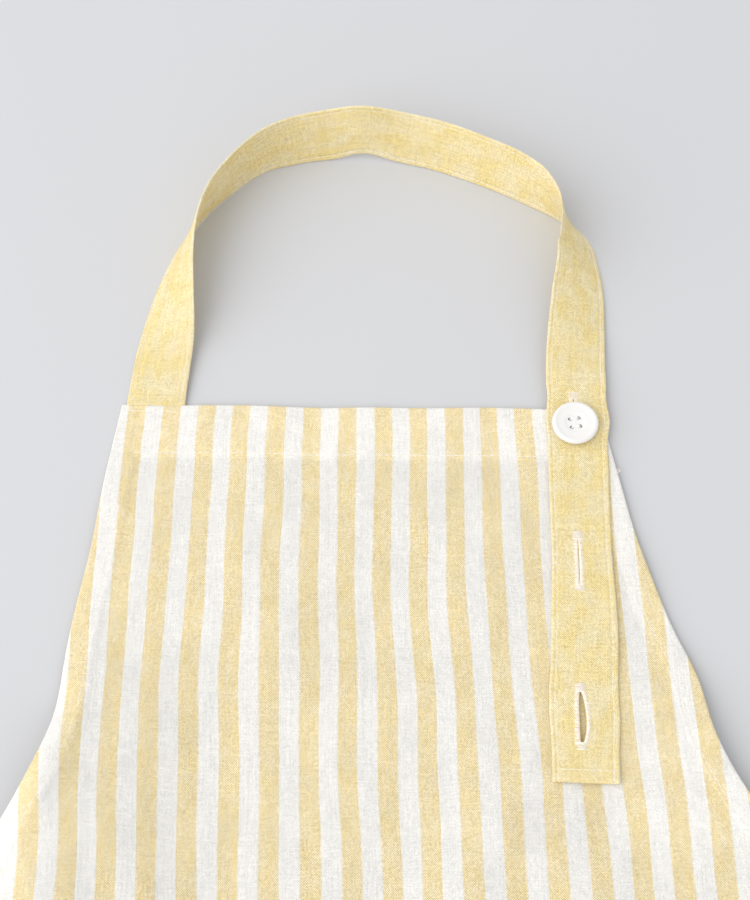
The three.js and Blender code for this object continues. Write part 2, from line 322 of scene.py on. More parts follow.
def striped_cotton():
    material, tree = new_material("striped_cotton")
    x, y = flat_place(tree)
    swayed = x + (grain(x, y, 60, 75, 1, 1.0) - 0.5) * 5.0
    warp_up, height, warp_number, weft_number = plain_weave(swayed, y)
    off_middle = ((warp_number + 0.5) * YARN - STRIPE_X).maths("PINGPONG", STRIPE_REPEAT / 2)
    yellow = remap(off_middle, STRIPE_HALF + 0.3, STRIPE_HALF - 0.3)
    warp = tone(mix(tree, yellow, WHITE_YARN, YELLOW_YARN), yarn_tone(warp_number, y, 38, 0.085, 3.0))
    weft = tone(WEFT_YARN, yarn_tone(weft_number, swayed, 24, 0.05, 11.0))
    shown = linear(warp_up, 0, 1, 0.42, 0.68)
    shown = shown * remap(grain(x, y, 3.5, 9, 3, 41.0), 0.3, 0.7, 0.88, 1.12)
    cloth = mix(tree, shown, weft, warp)
    cloth = tone(cloth, remap(grain(x, y, 14, 22, 3, 6.0), 0.3, 0.7, 0.96, 1.03))
    depth = linear(yellow, 0, 1, 0.08, 0.14)
    cloth = tone(cloth, yarn_grain(swayed, y, warp_up, warp_number, weft_number, depth), yellow * 0.5)
    # Painted light: the hems are brighter and the single-ply cloth darker. This stands in for the extra
    # plies sending light back where a single ply lets the grey floor show through.
    cloth = tone(cloth, linear(stored(tree, "plies"), 0, 1, 0.955, 1.02))
    finish_cloth(husks(cloth, x, y, 0.84), height, x, y, 1.6, 0.14)
    return material


def chambray():
    material, tree = new_material("chambray")
    x, y = flat_place(tree)
    warp_up, height, warp_number, weft_number = plain_weave(x, y)
    warp = tone(STRAP_YARN, yarn_tone(warp_number, y, 22, 0.13, 5.0))
    weft = tone(STRAP_WEFT, yarn_tone(weft_number, x, 9, 0.09, 13.0))
    shown = linear(warp_up, 0, 1, 0.46, 0.70)
    shown = shown * remap(grain(x, y, 7, 12, 3, 9.0), 0.33, 0.67, 0.76, 1.14)
    slub = remap(grain(x, y, 7, 0.55, 1, 17.0), 0.62, 0.78)
    cloth = mix(tree, slub * 0.4, mix(tree, shown, weft, warp), STRAP_SLUB)
    # Painted highlight: the strap and ties are paler along their folded edges, where the thick fold catches
    # the light.
    cloth = mix(tree, stored(tree, "plies") * 0.45, cloth, STRAP_FOLD_HIGHLIGHT)
    cloth = tone(cloth, yarn_grain(x, y, warp_up, warp_number, weft_number, 0.14), 0.5)
    finish_cloth(husks(cloth, x, y, 0.82), height, x, y, 1.3, 0.19)
    return material


def sewing_thread(name, colour):
    """Thread with the slant of its twisted plies."""
    material, tree = new_material(name)
    place = output(tree, "TexCoord", socket="Object")
    x, y, z = parts(place)
    twist = ((x + y + z) * 9000.0).maths("SINE")
    # The twist also lightens and darkens the colour: painted light on the crests of the plies and painted
    # shade in the grooves between them, besides their relief.
    shade = twist * 0.035 + remap(noise(place, 900.0, 2.0), 0.3, 0.7, 0.93, 1.04)
    finish(tree, output(tree, "BsdfPrincipled", {
        "Base Color": tone(colour, shade), "Roughness": 0.7, "Specular IOR Level": 0.3, "Sheen Weight": 0.2,
        "Normal": relief(twist, 0.5, 0.00006),
    }))
    return material


def button_plastic():
    material, tree = new_material("button_plastic")
    place = output(tree, "TexCoord", socket="Object")
    colour = mix(tree, noise(place, 260.0, 3.0), (0.80, 0.785, 0.75, 1), (0.84, 0.825, 0.79, 1))
    handled = noise(place, 900.0, 4.0)
    finish(tree, output(tree, "BsdfPrincipled", {
        "Base Color": colour, "Roughness": remap(handled, 0.3, 0.7, 0.2, 0.34), "Coat Weight": 0.3,
        "Coat Roughness": 0.12, "Normal": relief(handled, 0.15, 0.0001),
    }))
    return material


def floor_paper():
    material, tree = new_material("floor_paper")
    cloudy = noise(output(tree, "TexCoord", socket="Object"), 3.0, 2.0)
    colour = mix(tree, cloudy, (0.592, 0.594, 0.603, 1), (0.608, 0.608, 0.615, 1))
    inputs = {"Base Color": colour, "Roughness": 0.8, "Specular IOR Level": 0.2}
    finish(tree, output(tree, "BsdfPrincipled", inputs))
    return material


# ---------------- meshes

def plain_mesh(name, points, faces):
    """A mesh from points in this script's millimetres."""
    mesh = bpy.data.meshes.new(name)
    mesh.from_pydata((np.asarray(points, float) * MM + (0, TOP, 0)).tolist(), [], faces)
    return mesh


def make_piece(name, points, faces, material, uv=None, plies=None, sharp=50.0):
    """A visible piece. uv is where each point lies on the flat cloth, plies how hemmed it is, or for the
    strap and ties how near a folded edge; the cloth materials turn it into painted light.
    A closed sheet gives both for its front, and its back has the same."""
    mesh = plain_mesh(name, points, faces)
    corners = np.empty(len(mesh.loops), np.int32)
    mesh.loops.foreach_get("vertex_index", corners)
    if uv is not None:
        layer = mesh.uv_layers.new(name="cut")
        layer.data.foreach_set("uv", np.tile(uv, (2, 1)).astype(np.float32)[corners].ravel())
    if plies is not None:
        layer = mesh.attributes.new("plies", "FLOAT", "POINT")
        layer.data.foreach_set("value", np.tile(plies, 2).astype(np.float32))
    mesh.shade_smooth()
    mesh.set_sharp_from_angle(angle=math.radians(sharp))
    mesh.materials.append(material)
    piece = show(name, mesh)
    return piece


def stand_in(piece, body, *nodes):
    """A piece that moves with a body in place of CAD nodes."""
    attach(piece, body)
    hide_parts(*nodes)


def closed_sheet(top, bottom, faces):
    """The faces on top, their copies below, and a rim round every open edge."""
    count = len(top)
    edges = set()
    for face in faces:
        edges.update(zip(face, face[1:] + face[:1]))
    rim = [(b, a, a + count, b + count) for a, b in sorted(edges) if (b, a) not in edges]
    below = [tuple(i + count for i in reversed(face)) for face in faces]
    return np.vstack([top, bottom]), faces + below + rim


def grid_faces(number):
    """Quads over a table of point numbers whose rows go down and columns go right."""
    a, b = number[1:, :-1].ravel(), number[1:, 1:].ravel()
    c, d = number[:-1, 1:].ravel(), number[:-1, :-1].ravel()
    return list(zip(a.tolist(), b.tolist(), c.tolist(), d.tolist()))


def grid_sheet(top, bottom):
    """Closed sheet over two (rows, columns, 3) tables of points."""
    rows, columns = top.shape[:2]
    number = np.arange(rows * columns).reshape(rows, columns)
    return closed_sheet(top.reshape(-1, 3), bottom.reshape(-1, 3), grid_faces(number))


def between(a, b, low, high, t):
    """The point at t on the line that is at a when t is low and at b when t is high."""
    return (high - t) / (high - low) * a + (t - low) / (high - low) * b


def catmull(points, per_segment):
    """Centripetal Catmull-Rom through points; per_segment gives each stretch's number of steps."""
    points = np.asarray(points, float)
    ends = np.vstack([2 * points[0] - points[1], points, 2 * points[-1] - points[-2]])
    out = []
    for i, steps in enumerate(per_segment):
        p0, p1, p2, p3 = ends[i:i + 4]
        gaps = [max(np.linalg.norm(q - p), 1e-6) ** 0.5 for p, q in ((p0, p1), (p1, p2), (p2, p3))]
        t0, t1, t2, t3 = np.cumsum([0.0, *gaps])
        t = np.linspace(t1, t2, steps, endpoint=False)[:, None]
        a2 = between(p1, p2, t1, t2, t)
        b1 = between(between(p0, p1, t0, t1, t), a2, t0, t2, t)
        b2 = between(a2, between(p2, p3, t2, t3, t), t1, t3, t)
        out.append(between(b1, b2, t1, t2, t))
    return np.vstack(out + [points[-1:]])


def circle(sides):
    """(cosines, sines) of evenly spaced angles."""
    angle = np.arange(sides) * 2 * math.pi / sides
    return np.cos(angle), np.sin(angle)


def ring_faces(rings, sides):
    """The skin of a tube whose points run ring by ring, with both its ends closed."""
    faces = []
    for low in range(0, (rings - 1) * sides, sides):
        for j in range(sides):
            n = (j + 1) % sides
            faces.append((low + j, low + n, low + n + sides, low + j + sides))
    return faces + [tuple(reversed(range(sides))), tuple(range((rings - 1) * sides, rings * sides))]


def round_edge(distance, reach):
    """How much of its full thickness a folded strap has at a distance from its edge."""
    return np.sqrt(np.clip(1 - (1 - np.clip(distance / reach, 0, 1)) ** 2, 0.02, 1))


def unit(vectors):
    return vectors / np.maximum(np.linalg.norm(vectors, axis=-1, keepdims=True), 1e-9)


def bump(value, middle, reach):
    return np.exp(-((value - middle) / reach) ** 2)


def upwards(points):
    return np.tile([0.0, 0.0, 1.0], (len(points), 1))


def smooth(value, low, high):
    t = np.clip((value - low) / (high - low), 0, 1)
    return t * t * (3 - 2 * t)


# ---------------- how the cloth lies

def armhole_half(y):
    t = np.maximum(0, -y / BIB_HEIGHT)
    widened = ARMHOLE_SLOPE * t + (1 - ARMHOLE_SLOPE) * t ** ARMHOLE_POWER
    return TOP_HALF + (WAIST_HALF - TOP_HALF) * widened


def side_half(y):
    return WAIST_HALF + (HEM_HALF - WAIST_HALF) * (-BIB_HEIGHT - y) / (LENGTH - BIB_HEIGHT)


def inset_half(y, inset):
    """Half the width at height y of the line that runs inset millimetres inside the edge."""
    y = np.asarray(y, float)
    foot = y
    # The point of the edge that the line is measured from settles well within these rounds.
    for _ in range(26):
        slope = armhole_half(foot - 0.25) * 2 - armhole_half(foot + 0.25) * 2
        half = armhole_half(foot) - inset / np.hypot(1, slope)
        foot = y + inset * slope / np.hypot(1, slope)
    return np.minimum(half, side_half(y) - inset)


def uneven(sign, y):
    """How much wider (or narrower) than its cut the cloth lies on one side."""
    if sign > 0:
        wide = 3.5 * bump(y, -124, 17) + 0.9 * smooth(-y, 120, 140) * (1 - smooth(-y, 180, 240))
        return wide - 4.0 * (1 - smooth(-y, 50, 105))
    return 0.4 - 1.0 * smooth(-y, 30, 75) * (1 - smooth(-y, 190, 250)) - 5.2 * bump(y, -150, 28)


def edge_x(sign, y, inset):
    """Where the line inset millimetres inside the left (-1) or right (+1) edge runs, at heights y."""
    return sign * (inset_half(y, inset) + uneven(sign, np.asarray(y, float)))


def folds():
    """Long low folds of the laid cloth: wave numbers across and along it, phase, and height."""
    out = []
    for length in (118, 92, 74, 61, 52, 44, 37, 31, 27):
        turn = rng.normal(0, 0.62)
        k = 2 * math.pi / length
        out.append((k * math.cos(turn), k * math.sin(turn), rng.uniform(0, 2 * math.pi), 0.0040 * length))
    return out


FOLDS = folds()
FOLDS_DEEP = sum(fold[3] for fold in FOLDS) * 0.62


def ramp(value, corner):
    """value where it is positive and 0 where it is negative, with the corner between them rounded."""
    return (value + np.sqrt(value ** 2 + corner ** 2)) / 2


def humps(x, y):
    """How far the cloth stands off the floor inside each armhole, where it is rucked up."""
    x, y = np.asarray(x, float), np.asarray(y, float)
    fades = smooth(-y, 98, 165) * (1 - smooth(-y, 215, 300))
    off_crest = x + 112 + 19 * smooth(-y, 129, 165)
    left = np.where(off_crest > 0, 1.09 - np.hypot(off_crest, 5) / 56, 1 - (off_crest / 17) ** 2)
    right = 1.09 - ramp((inset_half(y, 0.0) - x - 8) / 44, 0.18)
    return fades * (14 * ramp(left, 0.1) * (x < 0) + 5 * ramp(right, 0.1) * (x > 0))


def wave(x, y):
    """How far the laid cloth stands off the floor: low folds all over, and the humps."""
    x, y = np.asarray(x, float), np.asarray(y, float)
    low = sum(deep * np.sin(kx * x + ky * y + phase) for kx, ky, phase, deep in FOLDS)
    calm = 0.3 + 0.7 * smooth(-y, 10, 60)
    return calm * ramp(FOLDS_DEEP + low, 0.3) + humps(x, y)


def drift(x, y):
    """Small shifts of the laid cloth in its own plane. Its top edge lies a little askew."""
    dx = 0.3 * np.sin(y / 27 + 0.02 * x) + 0.18 * np.sin(y / 10.5 + 0.05 * x + 1.0)
    dy = 0.4 * np.sin(x / 24 + 0.5) + 0.25 * np.sin(x / 9.5 + 2.0)
    askew = -(0.042 * np.clip(x, -130, 130) + 0.3 + 1.7 * smooth(x, -45, -10)) * (1 - smooth(-y, 30, 230))
    drawn_in = 0.002 * x * humps(x, y)
    return dx * smooth(-y, 0, 25) - drawn_in, dy + askew


def wander(x, y):
    """How far the stripes have strayed to the right of the straight grain."""
    down = (0, 15, 45, 80, 110, 145, 165, 185, 210, 260)
    strayed = np.interp(-y, down, (2.0, 1.7, 0.5, -0.4, 0, 0, 0.4, 1.0, 1.2, 0))
    return strayed * (1 - smooth(x, 42, 78))


def settle(points):
    """Moves points drawn on the flat cloth to where the laid cloth is."""
    out = np.array(points, float)
    x, y = out[..., 0].copy(), out[..., 1].copy()
    dx, dy = drift(x, y)
    out[..., 0] += dx
    out[..., 1] += dy
    out[..., 2] += wave(x, y)
    return out


def seam_dip(distance, along, seam):
    """A seam pulls the cloth down on its line and puckers it on both sides."""
    pull = -0.24 * np.exp(-((distance - seam) / 0.8) ** 2)
    pucker = 0.10 * np.sin(along / 1.15) + 0.07 * np.sin(along / 2.3 + 1)
    return pull + pucker * np.exp(-((distance - seam) / 3.2) ** 2)


def cloth_top(x, y, side):
    """Height of the cloth's front face on the flat cut; side is the distance from the side edge."""
    top_gap, bottom_gap = -y, y + LENGTH
    hemmed = np.maximum.reduce([
        1 - smooth(side, EDGE_HEM, EDGE_HEM + 3),
        1 - smooth(top_gap, TOP_HEM, TOP_HEM + 3.5),
        1 - smooth(bottom_gap, BOTTOM_HEM, BOTTOM_HEM + 3.5),
    ])
    edge = np.clip(np.minimum(np.minimum(side, top_gap), bottom_gap) / FOLD_ROUND, 0, 1)
    rounded = (1 - np.sqrt(np.maximum(0, 1 - (1 - edge) ** 2))) * 1.05
    height = PLAIN_TOP + (HEMMED_TOP - PLAIN_TOP) * hemmed - rounded
    height = height + seam_dip(side, y, EDGE_SEAM) * (side < 16)
    height = height + seam_dip(top_gap, x, TOP_SEAM) * (top_gap < 32) * smooth(side, 2, 12)
    return height + seam_dip(bottom_gap, x, BOTTOM_SEAM) * (bottom_gap < 38) * smooth(side, 2, 12)


EDGE_INSETS = np.array([0, 0.25, 0.6, 1.1, 2.2, 4, 6, 7.6, 8.4, 9.1, 9.8, 10.8, 12.2, 14.5])


def cloth_rows():
    fine = np.array([0, 0.25, 0.6, 1.1, 2.2])
    top_seam = [21.6, 22.6, 23.3, 23.9, 24.5, 25.3, 26.5, 28]
    bib = np.r_[fine, 4:21:2, top_seam, 30:291:2]
    seam = LENGTH - BOTTOM_SEAM
    skirt = np.r_[np.arange(296, seam - 6, 6.5), seam + np.array([-4, -2, -0.8, 0, 0.8, 2, 4])]
    return -np.r_[bib, skirt, np.arange(seam + 8, LENGTH - 4, 5), LENGTH - fine[::-1]]


def cloth_grid():
    """(x, y, side) tables over the whole apron, with close columns along both hems."""
    y = cloth_rows()
    left, right = (np.stack([edge_x(sign, y, inset) for inset in EDGE_INSETS], 1) for sign in (-1, 1))
    share = np.linspace(0, 1, 104)[1:-1][None, :]
    span = right[:, -1:] - left[:, -1:]
    x = np.concatenate([left, left[:, -1:] + span * share, right[:, ::-1]], 1)
    far = np.minimum(EDGE_INSETS[-1] + span * np.minimum(share, 1 - share), FAR_IN)
    near = np.tile(EDGE_INSETS, (len(y), 1))
    side = np.concatenate([near, far, near[:, ::-1]], 1)
    return x, np.broadcast_to(y[:, None], x.shape), side


def laid_sheet(name, x, y, top, bottom, material, shift=0.0):
    """A closed sheet of striped cloth over flat-cut tables, settled onto the folds of the apron."""
    upper = settle(np.stack([x, y, top], -1))
    lower = settle(np.stack([x, y, bottom], -1))
    points, faces = grid_sheet(upper, lower)
    uv = np.stack([x + shift - wander(x, y), y], -1).reshape(-1, 2)
    # How hemmed each point is. The striped material paints the hems brighter from this, as painted light.
    hemmed = smooth(top, 1.15, 1.35).ravel()
    return make_piece(name, points, faces, material, uv, hemmed)


def bend_at_waist(piece):
    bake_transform(piece)


def apron_cloth(material):
    x, y, side = cloth_grid()
    top = cloth_top(x, y, side)
    piece = laid_sheet("apron_cloth", x, y, top, top - PLY, material)
    bend_at_waist(piece)
    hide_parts("bib_panel", "skirt_panel")


def hem_band(name, rows, sign, material):
    """A turned hem behind the cloth along one side edge."""
    insets = np.linspace(HEM_TUCK, EDGE_HEM, 8)
    x = np.stack([edge_x(sign, rows, inset) for inset in insets], 1)
    y = np.broadcast_to(rows[:, None], x.shape)
    side = np.broadcast_to(insets, x.shape)
    top = cloth_top(x, y, side) - PLY - PLY_GAP
    rim = np.minimum(side - HEM_TUCK, EDGE_HEM - side)
    bottom = PLY_GAP + 0.3 * (1 - smooth(rim, 0, 0.9))
    x, y, top, bottom = (table[:, ::-sign] for table in (x, y, top, bottom))
    return laid_sheet(name, x, y, top, bottom, material, 3.0)


def wide_hem(name, x_low, x_high, y_low, y_high, material):
    """A straight hem across the apron, behind its top or bottom edge."""
    x = np.linspace(x_low, x_high, 90)[None, :]
    y = np.linspace(y_high, y_low, 14)[:, None]
    x, y = np.broadcast_arrays(x, y)
    top = cloth_top(x, y, np.full(x.shape, FAR_IN)) - PLY - PLY_GAP
    top = np.minimum(top, HEMMED_TOP - PLY)
    return laid_sheet(name, x, y, top, np.full(x.shape, PLY_GAP), material, 5.0)


def hems(material):
    arm_rows = np.arange(-25, -284, -2.5)
    side_rows = np.arange(SIDE_TOP_Y, -LENGTH + BOTTOM_HEM + 1, -7.0)
    for word, sign in SIDES:
        arm = hem_band(f"armhole_turning_{word}", arm_rows, sign, material)
        bend_at_waist(arm)
        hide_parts(f"armhole_hem_{word}", f"waist_hem_{word}")
        side = hem_band(f"side_turning_{word}", side_rows, sign, material)
        stand_in(side, "skirt", f"side_hem_{word}")
    low = corner("bib_top_hem", 0)
    facing = wide_hem("top_facing", low[0] + 0.8, TOP_HALF - 5, -TOP_HEM, -1.0, material)
    stand_in(facing, "bib", "bib_top_hem")
    half, low = HEM_HALF - 1.2, -LENGTH + 1.0
    bottom = wide_hem("bottom_turning", -half, half, low, -LENGTH + BOTTOM_HEM, material)
    stand_in(bottom, "skirt", "bottom_hem")


# ---------------- stitches

def stitch_mesh(start, end, normal, radius, arch, sides=6):
    """One arched tube per stitch, with its ends sunk into the cloth."""
    start, end, normal = (np.asarray(v, float) for v in (start, end, normal))
    along = unit(end - start)
    aside = unit(np.cross(normal, along))
    steps = np.array([0.0, 0.18, 0.5, 0.82, 1.0])
    swell = np.array([0.45, 0.9, 1.0, 0.9, 0.45])
    lift = arch * (1 - (2 * steps - 1) ** 2) - 0.5 * radius
    cosine, sine = circle(sides)
    centre = start[:, None] + (end - start)[:, None] * steps[:, None] + normal[:, None] * lift[:, None]
    ring = aside[:, None] * cosine[:, None] + normal[:, None] * sine[:, None]
    points = (centre[:, :, None] + ring[:, None] * (radius * swell)[:, None, None]).reshape(-1, 3)
    skin = ring_faces(len(steps), sides)
    bases = range(0, len(points), len(steps) * sides)
    return points, [tuple(i + base for i in face) for base in bases for face in skin]


def run_of_stitches(path, normal, length, gap):
    """(start, end, normal) of stitches laid end to end along a path of points."""
    step = np.linalg.norm(np.diff(path, axis=0), axis=1)
    reach = np.r_[0, np.cumsum(step)]
    starts = np.arange(0, reach[-1] - length, length + gap)
    starts = starts + rng.uniform(-0.12, 0.12, len(starts))

    def at(values, where):
        return np.stack([np.interp(where, reach, values[:, i]) for i in range(3)], 1)
    middle = starts + length / 2
    return at(path, starts), at(path, starts + length), unit(at(normal, middle))


def stitches(name, runs, material, radius=0.22, arch=0.16):
    start, end, normal = (np.vstack(parts) for parts in zip(*runs))
    points, faces = stitch_mesh(start, end, normal, radius, arch)
    return make_piece(name, points, faces, material)


def seam_on_cloth(x, y, side, length=2.6, gap=0.5):
    """Stitches along a line drawn on the flat cloth."""
    line = settle(np.stack([x, y, cloth_top(x, y, np.broadcast_to(side, x.shape))], 1))
    return run_of_stitches(line, upwards(line), length, gap)


def seam_across(x, y, length=2.6, gap=0.5):
    """Stitches across the cloth at one height, far from its side edges."""
    return seam_on_cloth(x, np.full(len(x), y), FAR_IN, length, gap)


def cloth_seams(material):
    arm_y = np.arange(-50, -283, -1.0)
    side_y = np.arange(SIDE_TOP_Y, -LENGTH + BOTTOM_HEM + 1, -2.0)
    for word, sign in SIDES:
        run = seam_on_cloth(edge_x(sign, arm_y, EDGE_SEAM), arm_y, EDGE_SEAM)
        arm = stitches(f"armhole_seam_{word}", [run], material, 0.18)
        bend_at_waist(arm)
        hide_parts(f"armhole_stitching_{word}")
        run = seam_on_cloth(edge_x(sign, side_y, EDGE_SEAM), side_y, EDGE_SEAM)
        side = stitches(f"side_seam_{word}", [run], material)
        stand_in(side, "skirt", f"side_stitching_{word}")
    top = stitches("top_seam", [seam_across(np.arange(-TOP_HALF + 8, 80, 1.0), -TOP_SEAM)], material)
    stand_in(top, "bib", "top_hem_stitching")
    hem_x = np.arange(-HEM_HALF + 6, HEM_HALF - 6, 2.0)
    bottom = stitches("bottom_seam", [seam_across(hem_x, -LENGTH + BOTTOM_SEAM)], material)
    stand_in(bottom, "skirt", "bottom_stitching")
    caught = seam_across(np.arange(-108, -83, 0.5), -3.2, 2.2, 0.4)
    anchor = stitches("anchor_seam", [caught], material, 0.2, 0.1)
    stand_in(anchor, "bib", "anchor_stitching")


# ---------------- the neck strap

# The strap's outer edge, from its sewn end over the loop to the bib's other corner: x, y, height, and
# the angle that the strap is tipped up from lying flat. Past 90 it leans outwards.
STRAP_STATIONS = np.array([
    (-108.6, -18.6, 0.75, 0), (-108.5, -10, 0.75, 0), (-108.3, -2, 0.75, 0),
    (-108.1, 5, 0.75, 1), (-107.2, 14, 0.75, 3), (-104.3, 36, 0.8, 8), (-98.5, 60, 0.64, 33),
    (-92, 79, 0.5, 52), (-83.5, 95, 0.35, 68), (-72, 110.5, 0.2, 82), (-47, 131.3, 0.12, 97),
    (-29, 135.9, 0.12, 109), (-12, 137.1, 1.0, 113), (3, 137.5, 4.0, 108), (20, 133.6, 1.0, 114),
    (40, 127.2, 0.12, 114), (70, 112.4, 0.12, 109.5), (84, 103.6, 0.12, 103), (96.5, 95.5, 0.2, 82),
    (105.5, 87.5, 0.45, 56), (110.5, 79, 0.55, 46), (112.5, 67, 0.6, 39), (113.2, 50, 0.9, 24),
    (111.8, 30, 1.6, 13), (110.3, 14, 2.6, 6), (109.9, 5, 3.1, 1),
])
ACROSS = np.array([0, 0.15, 0.45, 0.9, 1.5, 2.2, 2.9, 4, 6, 8.2, 10.4, 12.2, 13.6, 14.4, 15.1,
                   15.8, 16.8, 18.2, 20, 22, 23.6, 24.1, 24.8, 25.5, 26.1, 26.55, 26.85, 27])


def bulging(width, v, bulges):
    """A width with bulges of given size, place and reach along v."""
    return width + sum(size * bump(v, middle, reach) for size, middle, reach in bulges)


def right_reach(v):
    """From the middle line of the buttoned stretch to its right edge."""
    return bulging(12.9, v, ((1.35, -13, 7), (1.5, -108, 26), (0.9, -146, 9), (0.3, -171, 12)))


def left_reach(v):
    return bulging(13.0, v, ((0.9, -13, 8), (-0.8, -78, 22), (1.3, -140, 16), (0.3, -171, 12)))


def down_strap(u, v):
    """A point of the buttoned stretch: u right of its middle line, v up it from the bib's top edge."""
    x = STRAP_TOP_X + u * math.cos(SLANT) + v * math.sin(SLANT)
    return x, v * math.cos(SLANT) - u * math.sin(SLANT)


def rest_height(v):
    """Height of the strap's middle on the bib: just clear of the cloth across its whole width."""
    v = np.asarray(v, float)
    near = v[:, None, None] + np.linspace(-7, 7, 9)[None, :, None]
    u = np.linspace(-14, 14, 9)[None, None, :]
    x, y = down_strap(u, near)
    side = np.where(x > 0, edge_x(1, y, 0.0) - x, FAR_IN)
    high = cloth_top(x, np.minimum(y, -0.01), side) + wave(x, y)
    high = high.max(axis=2)
    return high.mean(axis=1) * 0.45 + high.max(axis=1) * 0.55 + 0.10 + STRAP_THICK / 2 + 0.2


def strap_section(across, along):
    """(front, back) offsets of the strap's faces from its middle, rounded at both folded edges."""
    edge = np.minimum(across, STRAP_WIDTH - across)
    half = STRAP_THICK / 2 * round_edge(edge, 0.9)
    seam = bump(edge, STRAP_SEAM, 0.55)
    puff = 0.09 * bump(edge, 1.2, 0.6)
    pucker = 0.06 * np.sin(along / 0.95 + 0.3 * across) * bump(edge, STRAP_SEAM, 2.2)
    ripple = 0.08 * np.sin(along / 4.7 + 0.15 * across) + 0.06 * np.sin(along / 9.1 - 0.2 * across + 1)
    front = half + puff - 0.2 * seam + pucker + ripple
    return front, -half - puff + 0.2 * seam + pucker + ripple


def loop_frame(step=2.0):
    """The strap from its sewn end, round the loop, to just above the bib's other corner."""
    gaps = np.linalg.norm(np.diff(STRAP_STATIONS[:, :3], axis=0), axis=1)
    steps = np.maximum(1, np.round(gaps / step)).astype(int)
    edge = catmull(STRAP_STATIONS[:, :3], steps)
    tip = catmull(np.stack([np.arange(len(STRAP_STATIONS)) * 8.0, STRAP_STATIONS[:, 3]], 1), steps)[:, 1]
    run = unit(np.gradient(edge, axis=0))
    tilt = np.radians(tip)[:, None]
    inward = unit(np.stack([run[:, 1], -run[:, 0], np.zeros(len(run))], 1))
    across = inward * np.cos(tilt) + np.array([0, 0, 1.0]) * np.sin(tilt)
    face = unit(np.cross(across, run))
    far_from_buttonholes = np.full(len(edge), 99.0)
    width = np.full(len(edge), STRAP_WIDTH)
    return dict(edge=edge, across=across, face=face, v=far_from_buttonholes, width=width)


def bib_frame(v):
    """The straight stretch that lies on the bib, at the given distances."""
    v = np.asarray(v, float)
    x, y = down_strap(right_reach(v), v)
    edge = np.stack([x, y, rest_height(v)], 1)
    across = np.tile([-math.cos(SLANT), math.sin(SLANT), 0.0], (len(v), 1))
    slope = (rest_height(v + 1) - rest_height(v - 1)) / 2
    run = unit(np.stack([np.full(len(v), -math.sin(SLANT)), np.full(len(v), -math.cos(SLANT)), -slope], 1))
    face = unit(np.cross(across, run))
    return dict(edge=edge, across=across, face=face, v=v, width=right_reach(v) + left_reach(v))


def joined(*frames):
    lay = {key: np.concatenate([f[key] for f in frames]) for key in frames[0]}
    middle = lay["edge"] + lay["across"] * lay["width"][:, None] / 2
    run = np.r_[0, np.cumsum(np.linalg.norm(np.diff(middle, axis=0), axis=1))]
    lay["length"] = run - run[-1] - lay["v"][-1]
    return lay


def lip_push(v, across):
    """How far the open buttonholes push the cloth aside."""
    gape = np.zeros(np.shape(v))
    for centre, gap, power in zip(HOLE_CENTRES, HOLE_GAPS, HOLE_CURVES):
        t = np.clip((v - centre) / HOLE_HALF, -1, 1)
        gape = np.maximum(gape, gap * (1 - t ** 2) ** power * (1 - 0.15 * t))
    off = across - HOLE_ACROSS
    spread = 1 - smooth(np.abs(off), SATIN / 2, 11.5)
    return gape * spread * np.where(off > 0, 0.2, -0.8)


def strap_lay(lay, across, rows=slice(None), lip=0):
    """Front and back points at distances across the strap; lip picks the slit's left (1) or right (-1)."""
    keys = ("edge", "across", "face", "v", "width", "length")
    edge, side, face, v, width, length = (lay[key][rows][:, None] for key in keys)
    where = across * width / STRAP_WIDTH + lip_push(v, across + 1e-6 * lip)
    high, low = strap_section(across, length)
    middle = edge + side * where[..., None]
    return middle + face * high[..., None], middle + face * low[..., None]


def slit_strap(name, lay, cloth):
    """The strap as a closed sheet with its buttonholes cut through."""
    column = int(np.argmin(np.abs(ACROSS - HOLE_ACROSS)))
    v, length = lay["v"], lay["length"]
    flat = np.broadcast_to(ACROSS, (len(v), len(ACROSS)))
    number = np.arange(flat.size).reshape(flat.shape)
    high, low = strap_lay(lay, flat, lip=-1)
    cut = np.any([np.abs(v - centre) < HOLE_HALF - 0.2 for centre in HOLE_CENTRES], axis=0)
    rows = np.flatnonzero(cut)
    left_high, left_low = strap_lay(lay, np.full((len(rows), 1), HOLE_ACROSS), rows, lip=1)
    second = number.copy()
    second[rows, column] = flat.size + np.arange(len(rows))
    faces = grid_faces(number[:, :column + 1]) + grid_faces(second[:, column:])
    top = np.vstack([high.reshape(-1, 3), left_high[:, 0]])
    bottom = np.vstack([low.reshape(-1, 3), left_low[:, 0]])
    points, faces = closed_sheet(top, bottom, faces)
    uv = np.stack([flat, np.broadcast_to(length[:, None], flat.shape)], -1).reshape(-1, 2)
    uv = np.vstack([uv, np.stack([np.full(len(rows), HOLE_ACROSS), length[rows]], 1)])
    edge = np.minimum(flat, STRAP_WIDTH - flat)
    # Painted highlight along both folded edges, strongest right at the fold.
    fold_highlight = np.r_[bump(edge, 0, 0.55).ravel(), np.zeros(len(rows))]
    piece = make_piece(name, points, faces, cloth, uv, fold_highlight, 40.0)
    return piece


def strap_seams(lay):
    """Stitches along both edges, on the front and on the back."""
    runs = []
    for across in (STRAP_SEAM, STRAP_WIDTH - STRAP_SEAM):
        high, low = strap_lay(lay, np.full((len(lay["v"]), 1), across))
        runs.append(run_of_stitches(high[:, 0], lay["face"], *STRAP_STITCH))
        runs.append(run_of_stitches(low[:, 0], -lay["face"], *STRAP_STITCH))
    return runs


def on_strap(across, v, lift=0.0):
    """Points on the front of the buttoned stretch, at distances across and along it."""
    across, v = (np.asarray(a, float) for a in np.broadcast_arrays(across, v))
    lay = bib_frame(v.ravel())
    lay["length"] = -v.ravel()
    high, low = strap_lay(lay, across.reshape(-1, 1))
    return (high[:, 0] + lay["face"] * lift).reshape(across.shape + (3,))


